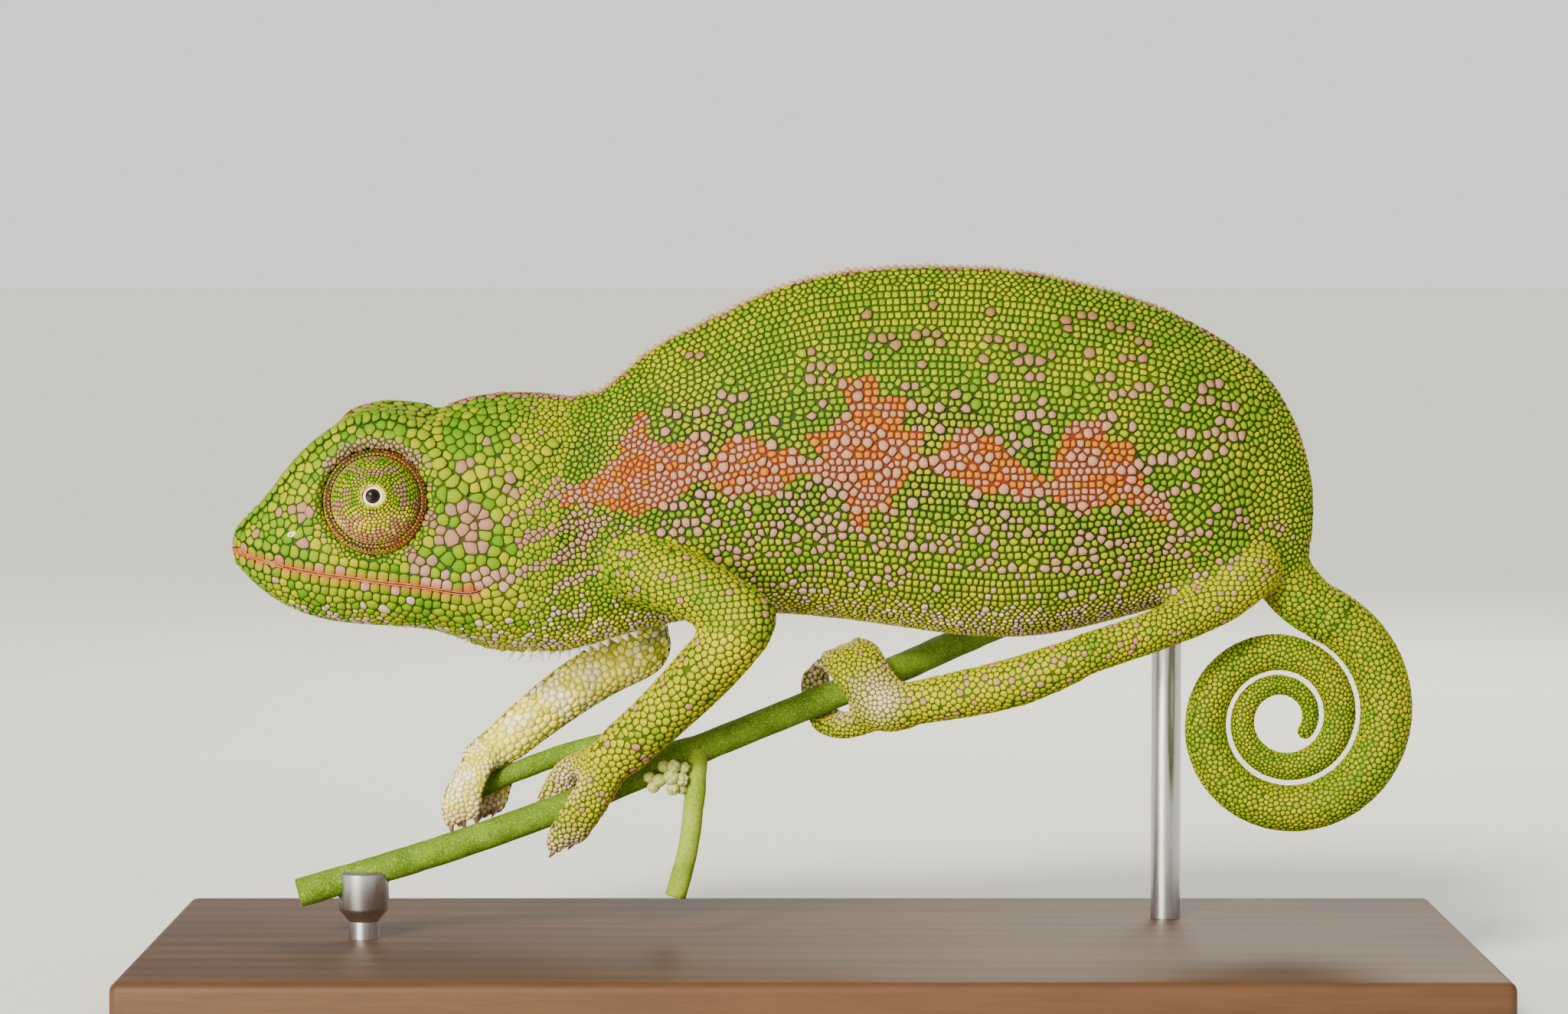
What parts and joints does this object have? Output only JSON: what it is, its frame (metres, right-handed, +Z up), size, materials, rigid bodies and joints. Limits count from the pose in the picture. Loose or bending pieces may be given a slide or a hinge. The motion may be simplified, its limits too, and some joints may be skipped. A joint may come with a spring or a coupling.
{
  "type": "carpet chameleon display model",
  "caption": "Life-size still model of a carpet chameleon gripping a cut length of stem on a plain two-rod stand.",
  "frame": {"origin": "middle of the stand's underside", "axes": "+X along the stand towards the tail, the animal faces -X, +Y towards its right side, +Z up"},
  "size_m": [0.13, 0.056, 0.0726],
  "materials": {
    "skin": "matt granular scales",
    "turret_skin": "fine matt granules",
    "eye": "wet gloss",
    "stem": "velvety green bark",
    "stand_wood": "satin dark stain",
    "stand_steel": "satin"
  },
  "bodies": {
    "root": {"arm_left_fore": "skin", "arm_left_upper": "skin", "arm_right_fore": "skin", "arm_right_upper": "skin", "eye_left": "eye", "eye_right": "eye", "eye_turret_left": "turret_skin", "eye_turret_right": "turret_skin", "foot_left": "skin", "foot_right": "skin", "hand_left": "skin", "hand_right": "skin", "head": "skin", "leg_left_shank": "skin", "leg_left_thigh": "skin", "leg_right_shank": "skin", "leg_right_thigh": "skin", "neck": "skin", "perch_shoot": "stem", "perch_stem": "stem", "perch_twig": "stem", "stand_base": "stand_wood", "stand_rod_front": "stand_steel", "stand_rod_rear": "stand_steel", "tail_1": "skin", "tail_2": "skin", "tail_3": "skin", "tail_4": "skin", "tail_5": "skin", "tail_6": "skin", "tail_7": "skin", "torso": "skin"}
  },
  "joints": []
}
